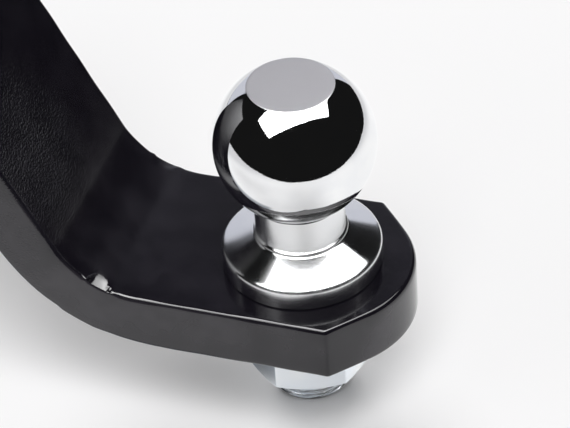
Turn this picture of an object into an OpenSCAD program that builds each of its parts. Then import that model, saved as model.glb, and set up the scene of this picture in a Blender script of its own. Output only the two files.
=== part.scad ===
// Drop ball mount: a bent bar carries a tow ball below and ahead of a square shank tube.
// Millimetres, +X towards the ball's end, +Z up, origin at the centre of the hitch pin's hole.

/* [Shank tube] */
// Outside width and height of the square tube
shank_w = 50.8; // [44:0.2:60]
// Wall thickness of the tube
shank_wall = 6.35; // [4:0.05:8]
// Radius of the tube's outside corners
shank_corner = 5; // [2:0.5:8]
// Length of tube behind the pin hole's centre
shank_tail = 66; // [40:1:90]
// Diameter of the hitch pin's hole
pin_hole_d = 16.2; // [12:0.1:20]

/* [Tongue bar] */
// Width of the flat bar
bar_w = 63.5; // [58:0.5:76]
// Thickness of the flat bar
bar_t = 19.05; // [14:0.05:24]
// Rounding of the bar's long edges
bar_edge = 1.8; // [0.8:0.1:3]
// Angle between the slope and the level platform
slope_angle = 63; // [50:0.2:72]
// Radius of the bend on its hollow side
bend_inner_r = 28; // [18:0.5:32]
// Radius of the bend on its outer side, which draws out a little thinner
bend_outer_r = 56; // [48:0.5:62]
// Length that the bar reaches past the weld's edge above the tube
bar_overrun = 6; // [5:0.5:14]

/* [Platform and nose] */
// Distance from the pin hole's centre to the ball's axis
ball_reach = 235; // [215:1:270]
// Height from the platform's top up to the top of the tube
ball_drop = 101.6; // [95:0.1:130]
// Distance from the ball's axis back to the corner of the bend
bend_back = 61.5; // [58:0.5:75]
// Distance from the ball's axis to the tip of the nose
nose_reach = 35.3; // [32:0.1:40]
// How far the radius of the nose's rounded front is under half the bar's width
nose_inset = 1.25; // [0.75:0.25:4]
// Distance from the ball's axis to the corners where the bevels begin
nose_corner = 17; // [12:0.5:19]

/* [Welds] */
// Radius of the weld's bead
weld_r = 4.4; // [3:0.1:4.4]
// How much thicker the bead is where two runs of it meet in a corner
weld_lump = 0.4; // [0.2:0.1:0.8]

/* [Tow ball] */
// Diameter of the ball
ball_d = 50; // [49.6:0.1:52]
// Height of the ball's centre above the platform
ball_h = 46.4; // [44:0.1:54]
// Height of the flat top above the ball's centre
ball_flat_h = 21.3; // [19:0.1:22.5]
// Rounding of the flat top's edge
ball_flat_round = 1.2; // [0.4:0.1:2]
// Diameter of the neck
neck_d = 28; // [26:0.2:31]
// Rounding between the neck and the ball
neck_round = 1.6; // [0.6:0.1:2.4]
// How far the lip at the foot of the neck stands out
neck_lip = 0.7; // [0.3:0.1:1.2]
// Diameter of the flange
flange_d = 50; // [46:0.5:56]
// Height of the flange's rim where its cone would meet it
flange_rim_h = 7.1; // [5:0.1:9]
// Height of the flange at the foot of the neck
flange_top_h = 12.5; // [11:0.1:14]
// Rounding of the rim's top edge
flange_round = 1.9; // [0.8:0.1:2.6]
// Diameter of the threaded stud
stud_d = 25.4; // [22:0.2:28]
// Length of the stud below the flange
stud_l = 50.8; // [49:0.1:62]
// Size of the chamfer at the stud's end
stud_chamfer = 1.9; // [0.8:0.1:2.4]

/* [Washer and nut] */
// Radial gap between the stud and its hole in the bar
stud_gap = 0.4; // [0.2:0.05:0.8]
// Thickness of the spring washer, squeezed flat
washer_t = 6.35; // [4:0.05:7]
// Width of the spring washer's section
washer_ring = 7.4; // [5:0.1:8]
// Width of the spring washer's split
washer_split = 3; // [1.5:0.5:5]
// Width of the nut across its flats
nut_af = 38.1; // [36.5:0.1:42]
// Height of the nut
nut_h = 13.9; // [10:0.1:16]
// Turn of the nut about the stud
nut_turn = 18.9; // [0:0.1:60]
// Radial gap at the thread, which stands for its flanks
thread_gap = 0.1; // [0.05:0.05:0.3]

/* [Hidden] */
$fn = 96;

// How far a large arc, and a rounded edge, pass the line that they run into, to cross it cleanly
lap = 0.03;
edge_lap = 0.005;
// Turn that a cutter of the filling goes past its ends
over_turn = 5;
// Overshoot of every cutter
cut = 1;
far = 600;

// Height of the platform's top above the pin hole's centre
platform_z = shank_w / 2 - ball_drop;
// Tangent of half the bend's turn, which places both of its arcs
half_bend = tan(slope_angle / 2);
// Length of the sloping arm from the bend's corner to its square-cut end
slope_l = (ball_drop + bar_overrun + bar_t * cos(slope_angle)) / sin(slope_angle);
// Corner of the bend on the bar's underside, along X and Z from the one on top
under_corner = [-bar_t * half_bend, -bar_t];
// Radius and centre of the nose's round front, and the angle at which the bevels run into it
nose_r = bar_w / 2 - nose_inset;
nose_c = nose_reach - nose_r;
corner_away = norm([nose_corner - nose_c, bar_w / 2]);
bevel_away = nose_r - lap;
nose_turn = atan2(bar_w / 2, nose_corner - nose_c) - acos(bevel_away / corner_away);
bevel_l = sqrt(corner_away * corner_away - bevel_away * bevel_away);
// Slope of the flange's cone, and the centre of the rim's rounding
cone_angle = atan2(flange_top_h - flange_rim_h, (flange_d - neck_d) / 2);
rim_c = [flange_d / 2 - flange_round,
         flange_rim_h + flange_round * (tan(cone_angle) - 1 / cos(cone_angle))];
rim_foot = 0.5;
// Radius of the bead at the foot of the neck
lip_r = 1.2;
// Turn of the weld's rods and lumps, which keeps their seams and poles off the faces that cut them
weld_seam = 40;
washer_bevel = 0.6;
washer_slant = 18;
nut_bevel_angle = 30;

// Frame of the platform: origin on the ball's axis at the bar's top
module on_platform() {
    translate([ball_reach, 0, platform_z]) children();
}

// Frame at the corner of the bend, along the platform
module at_bend() {
    translate([-bend_back, 0, 0]) children();
}

// Frame at the corner of the bend, along the slope, with +X down the slope
module on_slope() {
    at_bend() rotate([0, slope_angle, 0]) children();
}

// Centre of a bend's arc, along X and Z from the corner that it rounds
function arc_centre(r) = (r - lap) * [half_bend, 1];

// Area between a bend's arc and its corner, reaching past the corner's two lines
module bend_spandrel(r, past) {
    centre = arc_centre(r);
    foot = centre[1] + past;
    difference() {
        polygon([past * [-half_bend, -1], [centre[0], -past], centre,
                 centre - foot * [sin(slope_angle), cos(slope_angle)]]);
        translate(centre) circle(r);
    }
}

// Side view of the bar without the filling of its hollow, about the corner of the bend
module bar_side() {
    front = bend_back + nose_reach + cut;
    top = slope_l * [-cos(slope_angle), sin(slope_angle)];
    under = bar_t * [-sin(slope_angle), -cos(slope_angle)];
    difference() {
        polygon([[0, 0], top, top + under, under_corner, [front, -bar_t], [front, 0]]);
        translate(under_corner) bend_spandrel(bend_outer_r, cut);
    }
}

// Plan of the bar about the ball's axis: bevels that run into a round front
module bar_plan() {
    half = bar_w / 2;
    meet = nose_c + bevel_away * cos(nose_turn);
    tip = nose_c + bevel_away / cos(nose_turn);
    intersection() {
        polygon([[-far, -half], [nose_corner, -half], [tip, 0], [nose_corner, half], [-far, half]]);
        union() {
            translate([nose_c, 0]) circle(nose_r);
            translate([-far - cut, -bar_w]) square([far + cut + meet, 2 * bar_w]);
        }
    }
}

// Section that a rounded edge loses, with the edge at the origin and the bar at -X, -Y
module edge_section() {
    difference() {
        translate([-bar_edge, -bar_edge]) square(bar_edge + cut);
        translate([1, 1] * (edge_lap - bar_edge)) circle(bar_edge, $fn = 48);
    }
}

// Cutter for a straight edge along +X, with the bar at -Y, -Z
module edge_run(length) {
    rotate([90, 0, 90]) linear_extrude(length) edge_section();
}

// Turns a section about one of the bend's arcs, over the bend's angle and past its ends
module along_bend(r, past) {
    centre = arc_centre(r);
    translate([centre[0], 0, centre[1]]) rotate([90, 0, 0])
        rotate([0, 0, -90 - slope_angle - past]) rotate_extrude(angle = slope_angle + 2 * past)
            translate([r, -bar_w / 2]) children();
}

// Both halves of what is the same on the bar's two sides
module both_sides() {
    children();
    mirror([0, 1, 0]) children();
}

// Cutter of one edge of the platform, from the nose back to a distance from the bend's corner
module platform_edge(stop) {
    at_bend() translate([stop, bar_w / 2, 0]) edge_run(bend_back + nose_reach);
}

// Cutter of one edge of the slope, from its end down to a distance from the bend's corner
module slope_edge(stop, depth) {
    on_slope() translate([-slope_l - cut, bar_w / 2, -depth]) mirror([0, 0, depth])
        edge_run(slope_l + cut - stop);
}

// Cutter of one edge of the bend's outer arc
module bend_edge() {
    at_bend() translate([under_corner[0], 0, under_corner[1]]) along_bend(bend_outer_r, 0)
        mirror([0, 1]) edge_section();
}

// Cutter of one bevel's edge, running on past the corner and into the round front
module bevel_edge() {
    translate([nose_c, 0, 0]) rotate([0, 0, nose_turn - 90])
        translate([-bevel_l - 2 * bar_edge, bevel_away, 0]) edge_run(bevel_l + 4 * bar_edge);
}

// Cutter of the round front's edge
module front_edge() {
    translate([nose_c, 0, 0]) rotate([0, 0, -nose_turn]) rotate_extrude(angle = 2 * nose_turn)
        translate([nose_r, 0]) edge_section();
}

// Turns what cuts a top edge over, to cut the one below it
module underside() {
    translate([0, 0, -bar_t]) mirror([0, 0, 1]) children();
}

// Metal that fills the hollow of the bend, with its own rounded edges
module bend_filling() {
    at_bend() difference() {
        rotate([90, 0, 0]) linear_extrude(bar_w, center = true)
            bend_spandrel(bend_inner_r, 2 * bar_edge);
        for (side = [0, 1]) mirror([0, side, 0])
            along_bend(bend_inner_r, over_turn) rotate(180) edge_section();
    }
}

// Bar without the filling of its hollow: the bend's outer edges are rounded first
module bar_core() {
    // The top's edges stop inside the filling, and the underside's run on past the arc's ends
    hollow_stop = bend_inner_r * half_bend
        - 1.1 * sqrt(2 * bend_inner_r * bar_edge + bar_edge * bar_edge);
    under_stop = arc_centre(bend_outer_r)[0] + under_corner[0] - 2 * bar_edge;
    difference() {
        difference() {
            intersection() {
                at_bend() rotate([90, 0, 0]) linear_extrude(2 * bar_w, center = true) bar_side();
                translate([0, 0, -far / 2]) linear_extrude(far) bar_plan();
            }
            both_sides() bend_edge();
        }
        both_sides() platform_edge(hollow_stop);
        both_sides() slope_edge(hollow_stop, 0);
        both_sides() underside() platform_edge(under_stop);
        both_sides() slope_edge(under_stop, bar_t);
        both_sides() bevel_edge();
        both_sides() underside() bevel_edge();
        front_edge();
        underside() front_edge();
        translate([0, 0, -bar_t - cut])
            cylinder(r = stud_d / 2 + stud_gap, h = bar_t + 2 * cut);
    }
}

module tongue_bar() {
    color([0.07, 0.07, 0.08]) on_platform() {
        bend_filling();
        bar_core();
    }
}

// Square with rounded corners
module round_square(size, r) {
    square([size - 2 * r, size], center = true);
    square([size, size - 2 * r], center = true);
    for (x = [-1, 1], y = [-1, 1]) translate([x, y] * (size / 2 - r)) circle(r, $fn = 48);
}

// Everything in front of the bar's rear face
module ahead_of_rear_face() {
    on_platform() on_slope() translate([-far, -far / 2, -bar_t]) cube([2 * far, far, far]);
}

// Solid prism inside the tube's outline, from its open end through the bar
module shank_outline() {
    translate([-shank_tail, 0, 0]) rotate([90, 0, 90]) linear_extrude(shank_tail + ball_reach)
        round_square(shank_w, shank_corner);
}

module shank_tube() {
    hollow = shank_w - 2 * shank_wall;
    color([0.07, 0.07, 0.08]) difference() {
        shank_outline();
        translate([-shank_tail - cut, 0, 0]) rotate([90, 0, 90]) linear_extrude(far)
            round_square(hollow, shank_corner / 2);
        rotate([90, 0, 0]) cylinder(d = pin_hole_d, h = shank_w + 2 * cut, center = true);
        ahead_of_rear_face();
    }
}

// One side of the weld: a rod between two corners of the joint, with a lump where it starts
module weld_run(from, to) {
    away = to - from;
    translate(from) rotate([0, acos(away[2] / norm(away)), atan2(away[1], away[0])])
        rotate(weld_seam) {
            cylinder(r = weld_r, h = norm(away), $fn = 48);
            rotate([0, weld_seam, 0]) sphere(weld_r + weld_lump, $fn = 48);
        }
}

module weld_bead() {
    half = shank_w / 2;
    // Corner of the joint on the rear face at height z and side y
    rear = ball_reach - bend_back - bar_t / sin(slope_angle);
    function joint(y, z) = [rear - (z - platform_z) / tan(slope_angle), y, z];
    ring = [joint(-half, half), joint(half, half), joint(half, -half), joint(-half, -half)];
    color([0.09, 0.09, 0.1]) difference() {
        for (i = [0:3]) weld_run(ring[i], ring[(i + 1) % 4]);
        shank_outline();
        ahead_of_rear_face();
    }
}

// Ball with its flat top, cut off below its middle, as half a section
module ball_section() {
    r = ball_d / 2;
    f = ball_flat_round;
    flat_r = sqrt(pow(r - f, 2) - pow(ball_flat_h - f, 2));
    centre = [flat_r, ball_flat_h - f];
    translate([0, ball_h]) {
        difference() {
            intersection() {
                circle(r);
                translate([0, -r]) square([r, r + ball_flat_h]);
            }
            polygon([centre, centre * 2, [r, ball_flat_h + cut], [flat_r, ball_flat_h + cut]]);
        }
        translate(centre) circle(f, $fn = 48);
    }
}

// Rounding between the neck and the underside of the ball
module neck_fillet() {
    r = neck_d / 2;
    big = ball_d / 2;
    f = neck_round;
    centre = [r + f, ball_h - sqrt(pow(big + f, 2) - pow(r + f, 2))];
    touch = centre + ([0, ball_h] - centre) * f / (big + f);
    difference() {
        polygon([[r - cut, centre[1]], centre, touch, [r - cut, ball_h]]);
        translate(centre) circle(f, $fn = 48);
    }
}

// Neck, cone flange with a rounded rim, and chamfered stud
module lower_section() {
    neck = neck_d / 2;
    rim = flange_d / 2;
    stud = stud_d / 2;
    touch = rim_c + (flange_round - lap) * [sin(cone_angle), cos(cone_angle)];
    polygon([[0, -stud_l], [stud - stud_chamfer, -stud_l], [stud, stud_chamfer - stud_l], [stud, 0],
             [rim - rim_foot, 0], [rim, rim_foot], [rim, rim_c[1]], rim_c, touch,
             [neck, flange_top_h], [neck, ball_h], [0, ball_h]]);
    translate(rim_c) circle(flange_round, $fn = 48);
    translate([neck + neck_lip - lip_r, flange_top_h + lip_r * 0.7]) circle(lip_r, $fn = 48);
}

module tow_ball() {
    color([0.82, 0.83, 0.85]) on_platform() rotate_extrude() {
        ball_section();
        neck_fillet();
        lower_section();
    }
}

module lock_washer() {
    inner = stud_d / 2 + stud_gap;
    outer = inner + washer_ring;
    b = washer_bevel;
    color([0.6, 0.62, 0.64]) on_platform() translate([0, 0, -bar_t - washer_t]) difference() {
        rotate_extrude() polygon([[inner, 0], [outer - b, 0], [outer, b], [outer, washer_t - b],
                                  [outer - b, washer_t], [inner, washer_t]]);
        translate([-outer, 0, washer_t / 2]) rotate([washer_slant, 0, 0])
            cube([2 * washer_ring + cut, washer_split, 2 * washer_t], center = true);
    }
}

module hex_nut() {
    bore = stud_d / 2 + thread_gap;
    corner = nut_af / 2 / cos(30);
    face = nut_af / 2 - 0.5;
    rise = (corner - face) * tan(nut_bevel_angle);
    color([0.72, 0.75, 0.78]) on_platform() translate([0, 0, -bar_t - washer_t - nut_h])
        rotate([0, 0, nut_turn]) difference() {
            intersection() {
                cylinder(r = corner, h = nut_h, $fn = 6);
                rotate_extrude() polygon([[0, 0], [face, 0], [corner, rise], [corner, nut_h - rise],
                                          [face, nut_h], [0, nut_h]]);
            }
            translate([0, 0, -cut]) cylinder(r = bore, h = nut_h + 2 * cut);
        }
}

tongue_bar();
shank_tube();
weld_bead();
tow_ball();
lock_washer();
hex_nut();
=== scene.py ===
"""Drop ball mount: black powder-coated bar and shank, chrome ball and plated nut, in a small studio.
Named sizes are millimetres, unless their comment says metres. Every mesh is made in metres, in the
frame of the solids, and materials read their place on a piece in metres."""
import math

import bmesh
import bpy
import numpy as np
from mathutils import Matrix, Vector


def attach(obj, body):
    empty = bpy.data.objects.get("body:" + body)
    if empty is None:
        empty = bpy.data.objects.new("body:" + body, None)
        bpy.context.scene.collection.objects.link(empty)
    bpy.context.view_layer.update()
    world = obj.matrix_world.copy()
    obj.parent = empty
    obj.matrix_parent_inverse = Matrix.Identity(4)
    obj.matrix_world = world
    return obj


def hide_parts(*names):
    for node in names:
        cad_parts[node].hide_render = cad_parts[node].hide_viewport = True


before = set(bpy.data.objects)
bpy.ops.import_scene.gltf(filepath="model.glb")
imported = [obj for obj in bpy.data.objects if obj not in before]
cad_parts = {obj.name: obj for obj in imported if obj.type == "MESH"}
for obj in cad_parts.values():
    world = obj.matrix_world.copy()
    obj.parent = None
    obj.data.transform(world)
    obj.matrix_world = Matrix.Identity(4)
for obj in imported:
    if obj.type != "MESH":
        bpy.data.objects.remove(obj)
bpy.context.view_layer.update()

MM = 0.001

# Platform frame: origin on the ball's axis at the bar's top face, seen from the hitch pin's hole
BALL_AXIS_X = 235.0
PLATFORM_Z = -76.2
PLATFORM = Vector((BALL_AXIS_X, 0, PLATFORM_Z))

# Bent bar
BAR_HALF = 31.75
BAR_T = 19.05
BAR_EDGE = 1.8
SLOPE = math.radians(63.0)
BEND_INNER = 28.0
BEND_OUTER = 56.0
BEND_BACK = 61.5
BALL_DROP = 101.6
OVERRUN = 6.0
NOSE_TIP = 35.3
NOSE_R = 30.5
NOSE_CORNER = 17.0
CORNER_ROUND = 2.0
SLOPE_END = (BALL_DROP + OVERRUN + BAR_T * math.cos(SLOPE)) / math.sin(SLOPE)
# Length each way from the bend's corner that takes in both of its arcs
BEND_REACH = 23.0
# How much smaller the closing end of the bar is drawn, so that its rim is rounded
END_INSET = 0.5

# Pinch in the hollow of the bend: its width, its start and end along the bar, and its depths
PINCH_WIDE = 4.6
PINCH_START = 0.6
PINCH_END = 4.9
PINCH_NEAR = 2.1
PINCH_FAR = 0.5
PINCH_FADE = 7.0

# Tow ball, up from the bar's top
BALL_R = 25.0
BALL_H = 46.4
FLAT_H = 21.3
FLAT_ROUND = 1.2
NECK_R = 14.0
NECK_ROUND = 1.6
NECK_LIP = 0.7
LIP_R = 0.8
FLANGE_R = 25.0
RIM_H = 7.1
FLANGE_TOP = 12.5
FLANGE_ROUND = 1.9
RIM_FOOT = 0.5
STUD_R = 12.7
STUD_END = -50.8
STUD_CHAMFER = 1.9
STUD_PLAIN = 22.0
PITCH = 1.814
THREAD_DEPTH = 1.05
# Points in one turn of the ball's profile
AROUND_BALL = 224

# Shank and its weld, whose run is centred on the bar's rear face
SHANK_W = 50.8
WELD_R = 4.4
WELD_CORNER = 1.0
WELD_SPACING = 2.4
WELD_X = BALL_AXIS_X - BEND_BACK - BAR_T / math.sin(SLOPE) + PLATFORM_Z / math.tan(SLOPE)

# Washer and nut, down from the bar's underside
WASHER_T = 6.35
NUT_H = 13.9
NUT_FLAT = 19.05
NUT_TURN = math.radians(18.9)
NUT_BEVEL = 0.5
NUT_BORE = STUD_R + 0.1
NUT_BORE_BEVEL = 0.8
NUT_SOFTNESS = 0.13
AROUND_NUT = 360

# Ball's centre and the floor's height, in metres
HUB = (PLATFORM + Vector((0, 0, BALL_H))) * MM
FLOOR_Z = (PLATFORM_Z + STUD_END - 0.1) * MM


class Wire:
    """One socket of a node tree. Arithmetic on it adds Math nodes to the tree."""

    def __init__(self, tree, socket=None):
        self.tree = tree
        self.socket = socket

    def add(self, kind, inputs=(), out=0, **settings):
        """Adds a node: its settings first, then the value or wire of each socket in inputs."""
        node = self.tree.nodes.new(kind)
        for name, value in settings.items():
            setattr(node, name, value)
        for key, value in dict(inputs).items():
            socket = node.inputs[key]
            if isinstance(value, Wire):
                self.tree.links.new(value.socket, socket)
            else:
                socket.default_value = value
        return Wire(self.tree, node.outputs[out])

    def outputs(self, *names):
        """Wires from the named outputs of the node that this wire leaves."""
        return [Wire(self.tree, self.socket.node.outputs[name]) for name in names]

    def calculate(self, operation, *values):
        return self.add("ShaderNodeMath", dict(enumerate(values)), operation=operation)

    def maths(self, operation, *others):
        """This wire and then the others through one Math node."""
        return self.calculate(operation, self, *others)

    def __add__(self, other):
        return self.maths("ADD", other)

    def __sub__(self, other):
        return self.maths("SUBTRACT", other)

    def __mul__(self, other):
        return self.maths("MULTIPLY", other)

    def __truediv__(self, other):
        return self.maths("DIVIDE", other)

    def __pow__(self, other):
        return self.maths("POWER", other)

    def __radd__(self, other):
        return self.calculate("ADD", other, self)

    def __rsub__(self, other):
        return self.calculate("SUBTRACT", other, self)

    def __rmul__(self, other):
        return self.calculate("MULTIPLY", other, self)

    def __rtruediv__(self, other):
        return self.calculate("DIVIDE", other, self)

    def __neg__(self):
        return self.maths("MULTIPLY", -1.0)

    def step(self, low, high):
        """0 below low and 1 above high, with a soft run between them; low may be the larger."""
        return self.add("ShaderNodeMapRange", {"Value": self, "From Min": low, "From Max": high},
                        interpolation_type="SMOOTHSTEP")

    def parts(self):
        """The X, Y and Z of a vector."""
        return self.add("ShaderNodeSeparateXYZ", {0: self}).outputs("X", "Y", "Z")

    def noise(self, scale, detail=2.0, rough=0.5):
        """Noise from 0 to 1 on this vector."""
        return self.add("ShaderNodeTexNoise", {"Vector": self, "Scale": scale, "Detail": detail,
                                               "Roughness": rough})


def object_place(start):
    """Position on the piece in metres."""
    return start.add("ShaderNodeTexCoord", out="Object")


def mix_colour(share, first, second):
    """A colour between two; 6 and 7 are the Mix node's colour sockets."""
    return share.add("ShaderNodeMix", {0: share, 6: first, 7: second}, out=2, data_type="RGBA")


class Finish:
    """A procedural material with one Principled shader."""

    def __init__(self, name, **constants):
        self.material = bpy.data.materials.new(name)
        self.material.use_nodes = True
        self.tree = self.material.node_tree
        self.shader = self.tree.nodes["Principled BSDF"]
        for socket, value in constants.items():
            self.shader.inputs[socket.replace("_", " ")].default_value = value
        self.start = Wire(self.tree)

    def feed(self, socket, wire):
        self.tree.links.new(wire.socket, self.shader.inputs[socket])

    def relief(self, height):
        """Bump from a height in millimetres."""
        self.feed("Normal", self.start.add("ShaderNodeBump", {"Strength": 1.0, "Distance": MM,
                                                              "Height": height}))

    def turning_marks(self, around, across, detail=2.0, rough=0.6, layer=0.0):
        """Noise drawn out along the lathe's turn: cells round the axis, and to a metre of profile."""
        turn, along, _ = self.start.add("ShaderNodeUVMap", uv_map="profile").parts()
        cells = self.start.add("ShaderNodeCombineXYZ", {0: turn * around, 1: along * across, 2: layer})
        return cells.noise(1.0, detail, rough)


def powder_coat():
    """Gloss black coat: orange peel that is coarse on the slope's rolled skin and calm on the flat."""
    finish = Finish("black_powder_coat", Specular_IOR_Level=0.5, IOR=1.55)
    place = object_place(finish.start)
    x, y, z = place.parts()
    # The grain starts where the slope leaves the bend, and fades towards the far side
    grain_here = x.step(0.178, 0.150) * (1.0 - y.step(-0.012, 0.022) * 0.75)
    # The skin is a little closer up the slope than across it
    drawn = place.add("ShaderNodeMapping", {"Vector": place, "Scale": (0.9, 1.0, 1.35)})
    waves = place.noise(42.0, 1.5)
    peel = place.noise(420.0, 1.0)
    skin = drawn.noise(1350.0, 2.5, 0.6)
    pits = drawn.add("ShaderNodeTexVoronoi", {"Vector": drawn, "Scale": 950.0, "Randomness": 1.0},
                     feature="SMOOTH_F1").step(0.1, 0.55)
    grain = (skin * 0.070 + pits * 0.020) * grain_here
    height = waves * 0.065 + peel * 0.014 + skin * 0.003 + grain
    # The slope is dished a little towards the bend, from a centimetre above the bend's corner
    corner_x = (BALL_AXIS_X - BEND_BACK) * MM
    up_slope = ((z - PLATFORM_Z * MM) * math.sin(SLOPE) - (x - corner_x) * math.cos(SLOPE) - 0.010)
    dish = up_slope.maths("SMOOTH_MAX", 0.0, 0.016) * 31.0 + up_slope.step(-0.004, 0.032) * 0.55
    # The bend eases into the flat
    easing = x.step(0.206, 0.176) * 1.5
    finish.relief(height - dish + easing)
    cloud = place.noise(95.0, 3.0)
    in_bend = x.step(0.222, 0.190) * x.step(0.150, 0.170) * y.step(-0.0285, -0.0250)
    finish.feed("Roughness", 0.07 + cloud * 0.05 + grain_here * 0.03 + in_bend * (0.05 + cloud * 0.10))
    black = mix_colour(cloud.step(0.3, 0.75), (0.0072, 0.0062, 0.0098, 1), (0.0118, 0.0104, 0.0150, 1))
    # A painted sheen: the colour is lightened in mottled patches on the near side and round the nose
    near_side = y.step(-0.0308, -0.0318)
    nose_side = x.step(0.2550, 0.2640) * z.step(-0.0772, -0.0782)
    painted_sheen = (near_side + nose_side * 1.7) * place.noise(34.0, 3.0, 0.6).step(0.36, 0.72)
    finish.feed("Base Color", mix_colour(painted_sheen, black, (0.034, 0.031, 0.038, 1)))
    return finish.material


def plate_colour(place):
    """Chrome's own colour, in faint clouds."""
    return mix_colour(place.noise(120.0, 2.0).step(0.35, 0.7),
                      (0.850, 0.856, 0.872, 1), (0.890, 0.893, 0.900, 1))


def ball_chrome():
    """Mirror plate over faint wheel marks; the flat top is left satin."""
    finish = Finish("ball_chrome", Metallic=1.0)
    place = object_place(finish.start)
    above_centre = place.parts()[2] - HUB.z
    flat = above_centre.step((FLAT_H - 0.25) * MM, (FLAT_H - 0.05) * MM)
    marks = finish.turning_marks(30.0, 2600.0)
    scratches = finish.turning_marks(9.0, 15000.0, detail=1.0, rough=0.5, layer=4.0)
    ripple = place.noise(160.0, 1.0)
    finish.relief(marks * (0.0030 + flat * 0.004) + scratches * 0.0006 + ripple * 0.0012)
    finish.feed("Roughness", 0.022 + flat * 0.37 + scratches * (0.012 + flat * 0.08))
    finish.feed("Base Color", mix_colour(flat, plate_colour(place), (0.60, 0.59, 0.615, 1)))
    return finish.material


def turned_chrome():
    """Plate over the lathe's rings on neck and flange, which draw a reflection out across them."""
    finish = Finish("turned_chrome", Metallic=1.0, Anisotropic=0.95, Anisotropic_Rotation=0.25)
    place = object_place(finish.start)
    x, y, z = place.parts()
    up = z - PLATFORM_Z * MM
    marks = finish.turning_marks(16.0, 3400.0)
    # The rim's rounding is left less bright by the polishing wheel
    from_axis = ((x - BALL_AXIS_X * MM) ** 2 + y ** 2) ** 0.5
    rim = from_axis.step(0.0232, 0.0242) * up.step(0.0044, 0.0056) * up.step(0.0092, 0.0080)
    # The neck tapers a touch towards the ball
    taper = (up - 0.0130).maths("MAXIMUM", 0.0) * 95.0
    finish.relief(marks * 0.0055 + place.noise(160.0, 1.0) * 0.0012 - taper)
    neck = up.step(0.0120, 0.0135)
    finish.feed("Roughness", 0.125 + rim * 0.05 + neck * 0.06 + marks * 0.02)
    finish.feed("Base Color", plate_colour(place))
    return finish.material


def zinc():
    """Bright zinc plate: cool, faintly clouded, with the maker's grain across the flats."""
    finish = Finish("zinc_plate", Metallic=1.0)
    place = object_place(finish.start)
    cloud = place.noise(150.0, 3.0)
    grain = place.add("ShaderNodeMapping", {"Vector": place, "Scale": (1.0, 1.0, 14.0)})
    streaks = grain.noise(420.0, 2.0, 0.6)
    speckle = place.noise(2600.0, 1.0)
    # The flats lean out a little downwards
    lean = place.parts()[2] * 140.0
    finish.relief(streaks * 0.008 + speckle * 0.003 + cloud * 0.02 - lean)
    finish.feed("Roughness", 0.10 + cloud * 0.12 + streaks * 0.05)
    tint = place.noise(70.0, 1.0).step(0.35, 0.7)
    finish.feed("Base Color", mix_colour(tint, (0.84, 0.88, 0.93, 1), (0.93, 0.94, 0.94, 1)))
    return finish.material


def plain_mesh(name, points, faces):
    mesh = bpy.data.meshes.new(name)
    mesh.from_pydata([tuple(p) for p in points], [], faces)
    return mesh


def mend(mesh, merge=0.0, outward=False):
    """Joins points that lie closer than merge, in metres, and turns the faces outward."""
    work = bmesh.new()
    work.from_mesh(mesh)
    if merge:
        bmesh.ops.remove_doubles(work, verts=work.verts, dist=merge)
    if outward:
        bmesh.ops.recalc_face_normals(work, faces=work.faces)
    work.to_mesh(mesh)
    work.free()


def dress(mesh, material, sharp, replaces=()):
    """Makes a mesh a shaded piece that rides on the part, with edges sharper than a turn in degrees."""
    piece = bpy.data.objects.new(mesh.name, mesh)
    bpy.context.scene.collection.objects.link(piece)
    mesh.polygons.foreach_set("use_smooth", [True] * len(mesh.polygons))
    mesh.set_sharp_from_angle(angle=math.radians(sharp))
    mesh.materials.clear()
    mesh.materials.append(material)
    mesh.update()
    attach(piece, "root")
    if replaces:
        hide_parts(*replaces)


def solid_copy(node, material):
    """The solid's own mesh with its points joined, so that its curves shade smoothly."""
    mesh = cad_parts[node].data.copy()
    mesh.name = node + "_dressed"
    mend(mesh, merge=1e-6)
    if "custom_normal" in mesh.attributes:
        mesh.attributes.remove(mesh.attributes["custom_normal"])
    dress(mesh, material, 25, (node,))


# Bent bar: rings of points along it, each once round the section

# Places of a ring's points: across the half width, round a rounded edge, and down the side wall
ACROSS = [math.sin(math.pi / 2 * t) for t in np.linspace(-1, 1, 41)]
ROUND_EDGE = [math.radians(a) for a in range(15, 91, 15)]
DOWN_WALL = np.linspace(0, 1, 9)[1:-1]


def clamped(value):
    return min(1.0, max(0.0, value))


def eased(share):
    return share ** 2 * (3 - 2 * share)


def slope_point(along, depth):
    """Point on the sloping arm, along it from the bend's corner."""
    return (-along * math.cos(SLOPE) - depth * math.sin(SLOPE),
            along * math.sin(SLOPE) - depth * math.cos(SLOPE))


def bend_point(radius, depth, share):
    """Point at a depth through the bend, by its share of the way from slope to platform."""
    half = math.tan(SLOPE / 2)
    shift = depth * half
    line = BEND_REACH + shift - radius * half
    curve = radius * SLOPE
    way = share * (2 * line + curve)
    if way < line:
        return slope_point(BEND_REACH - way, depth)
    if way > line + curve:
        return (BEND_REACH - (2 * line + curve - way), -depth)
    turned_by = SLOPE - (way - line) / radius
    centre = (radius * half - shift, radius - depth)
    return (centre[0] - radius * math.sin(turned_by), centre[1] - radius * math.cos(turned_by))


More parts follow.
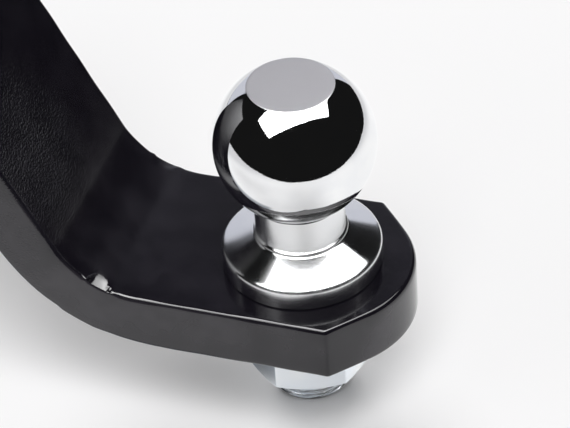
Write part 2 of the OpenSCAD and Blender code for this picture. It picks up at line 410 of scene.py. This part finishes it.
def bar_outline():
    """One side of the bar's plan: place along it from the bend's corner, half width and normal."""
    nose_c = NOSE_TIP - NOSE_R
    away = math.hypot(NOSE_CORNER - nose_c, BAR_HALF)
    square = math.pi / 2
    turn = math.atan2(BAR_HALF, NOSE_CORNER - nose_c) - math.acos(NOSE_R / away)
    corner_start = NOSE_CORNER + BEND_BACK - CORNER_ROUND * math.tan((square - turn) / 2)

    def on_arc(centre, half, radius, angle):
        return (centre + radius * math.cos(angle), half + radius * math.sin(angle),
                math.cos(angle), math.sin(angle))

    straight = list(np.arange(-SLOPE_END, -BEND_REACH, 2.0))
    straight += list(np.linspace(-BEND_REACH, BEND_REACH, 113))
    straight += list(np.arange(BEND_REACH + 1.5, corner_start - 0.7, 1.5))
    outline = [(s, BAR_HALF, 0.0, 1.0) for s in straight]
    outline += [on_arc(corner_start, BAR_HALF - CORNER_ROUND, CORNER_ROUND, angle)
                for angle in np.linspace(square, turn, 7)]
    front = [on_arc(nose_c + BEND_BACK, 0.0, NOSE_R, angle) for angle in np.linspace(turn, 0.0, 34)]
    bevel = zip(np.linspace(outline[-1][0], front[0][0], 10), np.linspace(outline[-1][1], front[0][1], 10))
    outline += [(s, half, math.cos(turn), math.sin(turn)) for s, half in list(bevel)[1:]]
    return outline + front[1:]


def pinch(s, y, depth):
    """How far the hollow of the bend is pinched down towards its sides, most on the near one."""
    side = max(0.0, (abs(y) - (BAR_HALF - PINCH_WIDE)) / PINCH_WIDE)
    ragged = 0.35 * math.sin(4.1 * y) + 0.25 * math.sin(9.3 * y + 1.0)
    rise = clamped((s - PINCH_START + 2.2 * side) / 1.2)
    fall = clamped((PINCH_END + 4.4 * side + ragged - s) / 2.0)
    deep = PINCH_NEAR if y < 0 else PINCH_FAR
    return deep * eased(rise) * eased(fall) * side ** 1.15 * max(0.0, 1 - depth / PINCH_FADE)


def bar_point(s, y, face, value):
    """Point of the bar: below its top or above its foot by value, or at that share of its wall."""
    if s <= -BEND_REACH:
        top, foot = slope_point(-s, 0), slope_point(-s, BAR_T)
    elif s >= BEND_REACH:
        top, foot = (s, 0.0), (s, -BAR_T)
    else:
        share = (s + BEND_REACH) / (2 * BEND_REACH)
        top, foot = bend_point(BEND_INNER, 0.0, share), bend_point(BEND_OUTER, BAR_T, share)
    span = math.dist(top, foot)
    if face == "foot":
        depth = span - value
    else:
        wall_top = BAR_EDGE + 0.7
        depth = value if face == "top" else wall_top + (span - wall_top - BAR_EDGE) * value
        depth += pinch(s, y, depth)
    x = top[0] + (foot[0] - top[0]) * depth / span
    z = top[1] + (foot[1] - top[1]) * depth / span
    return (x - BEND_BACK, y, z)


def bar_ring(s, half, ahead, aside, inset=0.0):
    """Points once round the bar, where its outline has this half width and this normal."""
    # The rolled edge wanders a little along the bar, and is pressed sharper beside the pinch
    edge = BAR_EDGE - 0.45 + 0.13 * math.sin(s / 2.9 + 1.0) + 0.12 * math.sin(s / 7.7)
    edge -= 0.85 * clamped((s + 3.0) / 2.0) * clamped((11.0 - s) / 4.0)
    inner_s = s - edge * ahead
    inner_half = max(0.0, half - edge * aside)

    def edge_points(face, fullness, turns):
        return [bar_point(inner_s + edge * math.sin(a) * ahead,
                          inner_half + edge * math.sin(a) * aside - inset,
                          face, max(inset, fullness * edge * (1 - math.cos(a)))) for a in turns]

    top = [bar_point(inner_s, inner_half * t, "top", inset) for t in ACROSS]
    side = edge_points("top", 1.55, ROUND_EDGE)
    side += [bar_point(s, half - inset, "wall", t) for t in DOWN_WALL]
    side += edge_points("foot", 1.0, reversed(ROUND_EDGE))
    foot = [bar_point(inner_s, inner_half * t, "foot", inset) for t in reversed(ACROSS)]
    return top + side + foot + [(x, -y, z) for x, y, z in reversed(side)]


def bar_piece(material):
    """The whole bar; the last ring closes on itself at the nose's tip."""
    rings = [bar_ring(-SLOPE_END, BAR_HALF, 0.0, 1.0, END_INSET)]
    rings += [bar_ring(*place) for place in bar_outline() if place[0] > -SLOPE_END + 0.4]
    count = len(rings[0])
    points = [(Vector(p) + PLATFORM) * MM for ring in rings for p in ring]
    faces = [tuple(range(count))]
    for i in range(0, (len(rings) - 1) * count, count):
        for j in range(count):
            k = (j + 1) % count
            faces.append((i + j, i + count + j, i + count + k, i + k))
    mesh = plain_mesh("tongue_bar_coated", points, faces)
    mend(mesh, merge=2e-6, outward=True)
    dress(mesh, material, 40, ("tongue_bar",))


# Turned pieces: half sections from the axis out, each point a radius and a height

def arc(centre, radius, start, stop, step):
    """Points on an arc of the half section, with its angles in degrees."""
    count = max(2, int(abs(stop - start) / step))
    return [(centre[0] + radius * math.cos(math.radians(a)), centre[1] + radius * math.sin(math.radians(a)))
            for a in np.linspace(start, stop, count + 1)]


def line(start, stop, step):
    """Points on a straight stretch of the half section."""
    count = max(1, int(math.dist(start, stop) / step))
    return [(start[0] + (stop[0] - start[0]) * t, start[1] + (stop[1] - start[1]) * t)
            for t in np.linspace(0, 1, count + 1)]


def joined(*runs):
    """One list of points from several runs, without the doubles where they meet."""
    points = []
    for run in runs:
        points += [p for p in run if not points or math.dist(p, points[-1]) > 0.02]
    return points


# Centre of the fillet between neck and ball
FILLET = (NECK_R + NECK_ROUND,
          BALL_H - math.sqrt((BALL_R + NECK_ROUND) ** 2 - (NECK_R + NECK_ROUND) ** 2))


def flange_profile():
    """Half section of flange, lip and neck."""
    cone = math.atan2(FLANGE_TOP - RIM_H, FLANGE_R - NECK_R)
    rim = (FLANGE_R - FLANGE_ROUND, RIM_H + FLANGE_ROUND * (math.tan(cone) - 1 / math.cos(cone)))
    lip = (NECK_R + NECK_LIP - LIP_R, FLANGE_TOP + LIP_R * 0.35)
    rim_arc = arc(rim, FLANGE_ROUND, 0, 90 - math.degrees(cone), 7)
    lip_arc = arc(lip, LIP_R, -38, 58, 8)
    # The cone runs under the foot of the lip
    groove = (lip_arc[0][0] + 0.22, lip_arc[0][1] - 0.20)
    neck_foot = (NECK_R, lip_arc[-1][1] + 0.35)
    return joined([(0.0, 0.0), (FLANGE_R - RIM_FOOT, 0.0)], line((FLANGE_R, RIM_FOOT), rim_arc[0], 0.7),
                  rim_arc, line(rim_arc[-1], groove, 0.5), lip_arc,
                  line(neck_foot, (NECK_R, FILLET[1]), 0.8), [(0.0, FILLET[1])])


def ball_profile():
    """Half section of the ball from its fillet up to the middle of its flat top."""
    flat_r = math.sqrt((BALL_R - FLAT_ROUND) ** 2 - (FLAT_H - FLAT_ROUND) ** 2)
    touch = math.degrees(math.atan2(BALL_H - FILLET[1], -FILLET[0]))
    fillet_arc = arc(FILLET, NECK_ROUND, 180, touch, 8)
    first = math.degrees(math.atan2(fillet_arc[-1][1] - BALL_H, fillet_arc[-1][0]))
    last = math.degrees(math.atan2(FLAT_H - FLAT_ROUND, flat_r))
    crown_arc = arc((flat_r, BALL_H + FLAT_H - FLAT_ROUND), FLAT_ROUND, last, 90, 7)
    # The ball's foot closes just inside the top of the neck
    inside = FILLET[1] - 0.6
    return joined([(0.0, inside), (NECK_R - 0.03, inside)], fillet_arc,
                  arc((0, BALL_H), BALL_R, first, last, 1.4), crown_arc,
                  line(crown_arc[-1], (0.0, BALL_H + FLAT_H), 0.9))


def turned(name, profile, material, replaces=()):
    """Turns a profile about the ball's axis, and lays its map: turn, and distance along it."""
    points, rows = [], []
    for radius, height in profile:
        if radius < 1e-6:
            rows.append([len(points)] * AROUND_BALL)
            points.append((PLATFORM + Vector((0, 0, height))) * MM)
            continue
        rows.append(list(range(len(points), len(points) + AROUND_BALL)))
        for i in range(AROUND_BALL):
            angle = 2 * math.pi * i / AROUND_BALL
            points.append((PLATFORM + Vector((radius * math.cos(angle), radius * math.sin(angle),
                                              height))) * MM)
    ways = [0.0]
    for here, there in zip(profile, profile[1:]):
        ways.append(ways[-1] + math.dist(here, there) * MM)
    faces, maps = [], []
    for k in range(len(profile) - 1):
        for i in range(AROUND_BALL):
            j = (i + 1) % AROUND_BALL
            corners = [rows[k][i], rows[k][j], rows[k + 1][j], rows[k + 1][i]]
            turn, next_turn = i / AROUND_BALL, (i + 1) / AROUND_BALL
            spots = [(turn, ways[k]), (next_turn, ways[k]),
                     (next_turn, ways[k + 1]), (turn, ways[k + 1])]
            # On the axis two corners are one point, and the face has three sides
            keep = [n for n in range(4) if corners[n] not in corners[:n]]
            faces.append([corners[n] for n in keep])
            maps += [spots[n] for n in keep]
    mesh = plain_mesh(name, points, faces)
    layer = mesh.uv_layers.new(name="profile")
    layer.data.foreach_set("uv", [value for spot in maps for value in spot])
    dress(mesh, material, 32, replaces)


def nut_piece(material):
    """Hexagon whose corners are turned off at both ends, with softened arrises."""
    face = NUT_FLAT - NUT_BEVEL
    slope = math.tan(math.radians(30))

    def soft_least(values):
        low = min(values)
        return low - NUT_SOFTNESS * math.log(sum(math.exp(-(v - low) / NUT_SOFTNESS) for v in values))

    def reach(angle, z):
        """Distance from the axis to the nut's skin."""
        facing = [math.cos(angle - math.radians(60 * n + 30)) for n in range(6)]
        flats = [NUT_FLAT / f for f in facing if f > 0.2]
        return soft_least(flats + [face + z / slope, face + (NUT_H - z) / slope])

    def skin(z, inset=0.0):
        return [(reach(2 * math.pi * i / AROUND_NUT, z) - inset, z) for i in range(AROUND_NUT)]

    # Heights from either end, closest where the bevels run out
    near_end = [0, 0.06, 0.15, 0.3, 0.5, 0.75, 1.0, 1.3, 1.6, 2.0, 2.4, 2.9]
    heights = near_end + list(np.linspace(3.5, NUT_H - 3.5, 8)) + [NUT_H - h for h in reversed(near_end)]
    mouth = NUT_BORE + NUT_BORE_BEVEL
    rings = [[(mouth, 0.0)] * AROUND_NUT, [(mouth + 0.6, 0.0)] * AROUND_NUT, skin(0.0, 0.25)]
    rings += [skin(z) for z in heights]
    rings += [skin(NUT_H, 0.25), [(mouth, NUT_H)] * AROUND_NUT]
    rings += [[(NUT_BORE, NUT_H - NUT_BORE_BEVEL)] * AROUND_NUT, [(NUT_BORE, NUT_BORE_BEVEL)] * AROUND_NUT]
    foot = PLATFORM - Vector((0, 0, BAR_T + WASHER_T + NUT_H))
    points, faces = [], []
    for k, ring in enumerate(rings):
        above = (k + 1) % len(rings) * AROUND_NUT
        for i, (radius, z) in enumerate(ring):
            angle = 2 * math.pi * i / AROUND_NUT + NUT_TURN
            points.append((foot + Vector((radius * math.cos(angle), radius * math.sin(angle), z))) * MM)
            j = (i + 1) % AROUND_NUT
            faces.append((k * AROUND_NUT + i, k * AROUND_NUT + j, above + j, above + i))
    mesh = plain_mesh("hex_nut_plated", points, faces)
    mesh.validate()
    dress(mesh, material, 30, ("hex_nut",))


def new_growth(name, **sizes):
    """An empty geometry tree with the named inputs, and a wire from each of them."""
    tree = bpy.data.node_groups.new(name, "GeometryNodeTree")
    for size, kind in {**sizes, "Finish": "Material"}.items():
        tree.interface.new_socket(size.replace("_", " "), in_out="INPUT", socket_type="NodeSocket" + kind)
    tree.interface.new_socket("Geometry", in_out="OUTPUT", socket_type="NodeSocketGeometry")
    source = tree.nodes.new("NodeGroupInput")
    return tree, Wire(tree), {socket.name: Wire(tree, socket) for socket in source.outputs if socket.name}


def end_growth(tree, shape, finish):
    """Ends a geometry tree: real meshes in their finish."""
    real = shape.add("GeometryNodeRealizeInstances", {"Geometry": shape})
    done = real.add("GeometryNodeSetMaterial", {"Geometry": real, "Material": finish})
    sink = tree.nodes.new("NodeGroupOutput")
    tree.links.new(done.socket, sink.inputs[0])
    return tree


def thread_tree():
    """Geometry nodes: a ring grid whose radius follows a screw thread, closed at both ends."""
    tree, start, sizes = new_growth("screw_thread", Around="Int", Rows="Int", Crest_Radius="Float",
                                    Depth="Float", Pitch="Float", Length="Float", Chamfer="Float",
                                    Plain_Length="Float")
    grid = start.add("GeometryNodeMeshGrid", {"Size X": 1.0, "Size Y": 1.0,
                                              "Vertices X": sizes["Around"], "Vertices Y": sizes["Rows"]})
    x, y, _ = start.add("GeometryNodeInputPosition").parts()
    # The grid's two end rows draw in to the axis and close the rod
    span = ((y + 0.5) * (sizes["Rows"] - 1) - 1) / (sizes["Rows"] - 3)
    inside = span.maths("MAXIMUM", 0.0).maths("MINIMUM", 1.0)
    down = inside * sizes["Length"]
    turn = x + 0.5
    # Each turn falls from crest to root and rises again, with narrow lands on both
    phase = (down / sizes["Pitch"] + turn).maths("FRACT")
    ramp = phase.maths("PINGPONG", 0.5) * 2
    flank = ramp.add("ShaderNodeMapRange", {"Value": ramp, "From Min": 0.12, "From Max": 0.88},
                     interpolation_type="LINEAR")
    threaded = down.step(sizes["Plain Length"] * 0.94, sizes["Plain Length"] * 1.02)
    radius = sizes["Crest Radius"] - flank * sizes["Depth"] * threaded
    near_end = sizes["Crest Radius"] - sizes["Chamfer"] + (sizes["Length"] - down)
    radius = radius.maths("MINIMUM", near_end)
    past_end = (span - inside).maths("ABSOLUTE").maths("GREATER_THAN", 1e-6)
    radius = radius * (1 - past_end)
    angle = turn * (2 * math.pi)
    spot = start.add("ShaderNodeCombineXYZ", {0: radius * angle.maths("COSINE"),
                                              1: radius * angle.maths("SINE"), 2: -down})
    shaped = start.add("GeometryNodeSetPosition", {"Geometry": grid, "Position": spot})
    closed = start.add("GeometryNodeMergeByDistance", {"Geometry": shaped, "Distance": 2e-6})
    return end_growth(tree, closed, sizes["Finish"])


def weld_tree():
    """Geometry nodes: overlapping ripples laid along a closed run, each a little different."""
    tree, start, sizes = new_growth("weld_ripples", Wide="Float", High="Float", Corner="Float",
                                    Spacing="Float", Bead="Float", Seed="Int")
    run = start.add("GeometryNodeCurvePrimitiveQuadrilateral", {"Width": sizes["Wide"],
                                                                "Height": sizes["High"]})
    run = start.add("GeometryNodeFilletCurve", {"Curve": run, "Radius": sizes["Corner"], "Count": 8,
                                                "Limit Radius": True}, mode="POLY")
    run = start.add("GeometryNodeResampleCurve", {"Curve": run, "Length": sizes["Spacing"]},
                    mode="LENGTH")
    ripple = start.add("GeometryNodeMeshUVSphere", {"Segments": 14, "Rings": 8, "Radius": 1.0})
    tangent = start.add("GeometryNodeInputTangent")
    facing = start.add("FunctionNodeAlignRotationToVector", {"Vector": tangent}, axis="Z")
    swell = start.add("FunctionNodeRandomValue", {"Min": 0.93, "Max": 1.04, "Seed": sizes["Seed"]},
                      out=1, data_type="FLOAT")
    size = start.add("ShaderNodeCombineXYZ", {0: sizes["Bead"] * swell, 1: sizes["Bead"] * swell,
                                              2: sizes["Spacing"] * 0.95})
    laid = start.add("GeometryNodeInstanceOnPoints", {"Points": run, "Instance": ripple,
                                                      "Rotation": facing, "Scale": size})
    return end_growth(tree, laid, sizes["Finish"])


def grown(name, tree, sizes, move):
    """Runs a geometry tree with the given sizes and returns its result as a plain mesh."""
    seed = bpy.data.objects.new(name + "_seed", bpy.data.meshes.new(name + "_seed"))
    bpy.context.scene.collection.objects.link(seed)
    run = seed.modifiers.new("grow", "NODES")
    run.node_group = tree
    keys = {item.name: item.identifier for item in tree.interface.items_tree if item.in_out == "INPUT"}
    for key, value in sizes.items():
        run[keys[key]] = value
    bpy.context.view_layer.update()
    result = seed.evaluated_get(bpy.context.evaluated_depsgraph_get())
    mesh = bpy.data.meshes.new_from_object(result)
    mesh.name = name
    mesh.transform(move)
    seed.modifiers.clear()
    bpy.data.objects.remove(seed)
    mend(mesh, outward=True)
    return mesh


def weld_piece(material):
    """Ripples round the tube, in the plane of the bar's rear face."""
    sizes = {"Wide": SHANK_W * MM, "High": SHANK_W * MM / math.sin(SLOPE), "Corner": WELD_CORNER * MM,
             "Spacing": WELD_SPACING * MM, "Bead": WELD_R * MM, "Seed": 7, "Finish": material}
    on_rear_face = Matrix(((0, -math.cos(SLOPE), math.sin(SLOPE), WELD_X * MM), (1, 0, 0, 0),
                           (0, math.sin(SLOPE), math.cos(SLOPE), 0), (0, 0, 0, 1)))
    mesh = grown("weld_bead_ripples", weld_tree(), sizes, on_rear_face)
    dress(mesh, material, 60, ("weld_bead",))


def stud_piece(material):
    """Threaded stud below the flange, which is part of the ball's forging."""
    sizes = {"Around": 97, "Rows": 340, "Crest Radius": STUD_R * MM, "Depth": THREAD_DEPTH * MM,
             "Pitch": PITCH * MM, "Length": -STUD_END * MM, "Chamfer": STUD_CHAMFER * MM,
             "Plain Length": STUD_PLAIN * MM, "Finish": material}
    mesh = grown("tow_ball_stud", thread_tree(), sizes, Matrix.Translation(PLATFORM * MM))
    dress(mesh, material, 50)


coat = powder_coat()
plate = ball_chrome()
lathe = turned_chrome()
plated = zinc()

bar_piece(coat)
solid_copy("shank_tube", coat)
solid_copy("lock_washer", plated)
turned("tow_ball_polished", ball_profile(), plate, ("tow_ball",))
turned("tow_ball_flange", flange_profile(), lathe)
nut_piece(plated)
weld_piece(coat)
stud_piece(plated)


# Stage: a floor, and a table, backdrop and softbox that only the mirrors see

def stage_mesh(name, points, faces, material, in_mirrors=True):
    """A stage piece that only mirrors see, or that all but mirrors see."""
    thing = bpy.data.objects.new(name, plain_mesh(name, points, faces))
    thing.data.materials.append(material)
    bpy.context.scene.collection.objects.link(thing)
    thing.visible_camera = not in_mirrors
    thing.visible_diffuse = not in_mirrors
    thing.visible_shadow = not in_mirrors
    thing.visible_glossy = in_mirrors


def from_hub(points, height):
    """Points about the ball's axis, given in millimetres, at a height in metres."""
    return [(HUB.x + x * MM, HUB.y + y * MM, height) for x, y in points]


def surface_material(name, surface):
    """A material with one shader, which surface makes from the tree's start."""
    material = bpy.data.materials.new(name)
    material.use_nodes = True
    tree = material.node_tree
    tree.nodes.remove(tree.nodes["Principled BSDF"])
    tree.links.new(surface(Wire(tree)).socket, tree.nodes["Material Output"].inputs["Surface"])
    return material


def floor_paint():
    """White paint that, seen from below, lets the camera through."""
    finish = Finish("pale_floor", Roughness=0.75, Specular_IOR_Level=0.0, Base_Color=(0.90, 0.895, 0.90, 1))
    from_below = finish.start.add("ShaderNodeNewGeometry", out="Backfacing")
    clear = finish.start.add("ShaderNodeBsdfTransparent")
    paint = Wire(finish.tree, finish.shader.outputs["BSDF"])
    sides = finish.start.add("ShaderNodeMixShader", {0: from_below, 1: paint, 2: clear})
    finish.tree.links.new(sides.socket, finish.tree.nodes["Material Output"].inputs["Surface"])
    return finish.material


def lit_table(start):
    """White table, painted grey away from the ball as painted shade, and painted darker in the bar's
    shadow.
    """
    x, y, _ = object_place(start).parts()
    away = ((x - HUB.x) ** 2 + y ** 2) ** 0.5
    # Painted shadow: the table's colour darkens where the bar's shadow falls
    painted_bar_shadow = (x - HUB.x).step(-0.020, -0.034) * y.maths("ABSOLUTE").step(0.060, 0.045)
    near_ball = mix_colour(painted_bar_shadow, (0.97, 0.97, 0.97, 1), (0.32, 0.34, 0.37, 1))
    # Painted shade: the colour greys away from the ball
    colour = mix_colour(away.step(0.22, 0.50), near_ball, (0.69, 0.69, 0.70, 1))
    return start.add("ShaderNodeBsdfDiffuse", {"Color": colour})


def lit_backdrop(start):
    """Cool backdrop, brightest at its foot, and brighter at its right end higher up."""
    sideways, _, high = object_place(start).parts()
    to_right = sideways.step(-0.40, 0.02) * 0.17
    strength = 0.70 - high.step(0.38, 0.60) * (0.52 - to_right) - high.step(0.62, 1.12) * (0.18 + to_right)
    return start.add("ShaderNodeEmission", {"Color": (0.89, 0.91, 1.0, 1), "Strength": strength})


def lit_softbox(start):
    """Softbox with a hot middle. Mirrors see it, and a second mirror less; the floor doesn't."""
    x, y, _ = object_place(start).parts()
    middle = HUB + Vector((0.05, -0.20, 1.0))
    along = (x - middle.x) * 0.75 + (y - middle.y) * 0.66
    across = (y - middle.y) * 0.75 - (x - middle.x) * 0.66
    off_middle = ((along * 0.9) ** 2 + (across * 1.1) ** 2) ** 0.5
    diffuse_depth, glossy_depth = start.add("ShaderNodeLightPath").outputs("Diffuse Depth", "Glossy Depth")
    only_mirrors = diffuse_depth.maths("LESS_THAN", 0.5)
    in_one_mirror = glossy_depth.maths("LESS_THAN", 1.5)
    strength = (4.5 + off_middle.step(0.75, 0.1) * 9.0) * only_mirrors * (0.28 + in_one_mirror * 0.72)
    return start.add("ShaderNodeEmission", {"Color": (1, 1, 1, 1), "Strength": strength})


FLOOR_REACH = 3.0
stage_mesh("floor", [(x, y, FLOOR_Z) for x, y in ((-FLOOR_REACH, -FLOOR_REACH), (FLOOR_REACH, -FLOOR_REACH),
                                                  (FLOOR_REACH, FLOOR_REACH), (-FLOOR_REACH, FLOOR_REACH))],
           [(0, 1, 2, 3)], floor_paint(), in_mirrors=False)

# The table's real outline, beyond which mirrors see the dark room
TABLE_EDGE = [(404, 0), (528, 305), (395, 684), (180, 900), (-900, 900), (-1200, -300),
              (-797, -460), (-250, -433), (0, -317), (145, -251), (266, -153)]
stage_mesh("table_in_mirrors", from_hub(TABLE_EDGE, FLOOR_Z + 0.3 * MM),
           [tuple(range(len(TABLE_EDGE)))], surface_material("lit_table", lit_table))

# The backdrop stands on this line, up to a height in metres
BACKDROP_LINE = [(180, 900), (-300, 1000), (-900, 900), (-1200, 600)]
BACKDROP_TOP = 1.15
last = len(BACKDROP_LINE)
stage_mesh("backdrop_in_mirrors",
           from_hub(BACKDROP_LINE, FLOOR_Z) + from_hub(BACKDROP_LINE, BACKDROP_TOP),
           [(n, n + 1, last + n + 1, last + n) for n in range(last - 1)],
           surface_material("lit_backdrop", lit_backdrop))

# The softbox's corners from the ball's centre
SOFTBOX_ABOVE = 1.0
SOFTBOX = [(-560, -1260), (1090, 190), (580, 780), (-900, -520)]
stage_mesh("softbox_in_mirrors", from_hub(SOFTBOX, HUB.z + SOFTBOX_ABOVE), [(0, 1, 2, 3)],
           surface_material("lit_softbox", lit_softbox))

# Diffusers round the table, by heading and height seen from the ball (degrees), distance and
# size (metres), and level, where 1 is white
DIFFUSERS = {
    "front_high": (300, 58, 4.0, (3.5, 1.4), 4.2),
    "front_steep": (300, 70, 4.0, (2.4, 1.2), 6.0),
    "back_middle": (120, 38, 4.0, (2.4, 1.2), 6.0),
    "back_low": (120, 9, 4.0, (3.0, 1.2), 16.2),
    "left_middle": (215, 30, 4.0, (2.4, 1.2), 1.2),
}


def add_diffuser(name, heading, height, distance, size, white):
    """A soft lamp that lights paint and floor, and that neither mirrors nor the camera see."""
    heading, height = math.radians(heading), math.radians(height)
    way = Vector((math.cos(height) * math.cos(heading), math.cos(height) * math.sin(heading),
                  math.sin(height)))
    lamp = bpy.data.lights.new(name, "AREA")
    lamp.shape = "RECTANGLE"
    lamp.size, lamp.size_y = size
    lamp.energy = white * math.pi * size[0] * size[1]
    diffuser = bpy.data.objects.new(name, lamp)
    diffuser.location = HUB + way * distance
    diffuser.rotation_euler = way.to_track_quat("Z", "Y").to_euler()
    diffuser.visible_glossy = False
    diffuser.visible_camera = False
    bpy.context.scene.collection.objects.link(diffuser)


for diffuser_name, settings in DIFFUSERS.items():
    add_diffuser(diffuser_name, *settings)

# The camera sees a white background, and mirrors a room that is nearly dark
world = bpy.data.worlds.new("studio")
bpy.context.scene.world = world
world.use_nodes = True
light_path = Wire(world.node_tree).add("ShaderNodeLightPath")
camera_ray, diffuse_ray = light_path.outputs("Is Camera Ray", "Is Diffuse Ray")
level = 0.008 + camera_ray * 0.947 + diffuse_ray * 0.05
background = world.node_tree.nodes["Background"]
background.inputs["Color"].default_value = (1, 1, 1, 1)
world.node_tree.links.new(level.socket, background.inputs["Strength"])

# Camera fitted to the photograph's edges: its turns in degrees, its focal length and the
# picture's width in pixels, and the width of its sensor in millimetres
CAMERA_HEADING = math.radians(20.717)
CAMERA_TILT = math.radians(40.360)
CAMERA_ROLL = math.radians(-4.504)
CAMERA_SPOT = Vector((464.497, -619.737, 503.267)) * MM
FOCAL_LENGTH = 2827.649
PICTURE_WIDTH = 570
SENSOR_WIDTH = 36.0


def add_camera():
    flat = math.cos(CAMERA_TILT)
    back = Vector((math.sin(CAMERA_HEADING) * flat, -math.cos(CAMERA_HEADING) * flat,
                   math.sin(CAMERA_TILT)))
    level_right = (-back).cross(Vector((0, 0, 1))).normalized()
    level_up = level_right.cross(-back)
    right = math.cos(CAMERA_ROLL) * level_right + math.sin(CAMERA_ROLL) * level_up
    up = math.cos(CAMERA_ROLL) * level_up - math.sin(CAMERA_ROLL) * level_right
    lens = bpy.data.cameras.new("camera")
    lens.sensor_width = SENSOR_WIDTH
    lens.lens = FOCAL_LENGTH / PICTURE_WIDTH * SENSOR_WIDTH
    lens.clip_start = 0.05
    lens.clip_end = 20.0
    camera = bpy.data.objects.new("camera", lens)
    camera.matrix_world = Matrix((right, up, back)).transposed().to_4x4()
    camera.matrix_world.translation = CAMERA_SPOT
    bpy.context.scene.collection.objects.link(camera)
    bpy.context.scene.camera = camera


add_camera()
bpy.context.scene.view_settings.view_transform = "Standard"
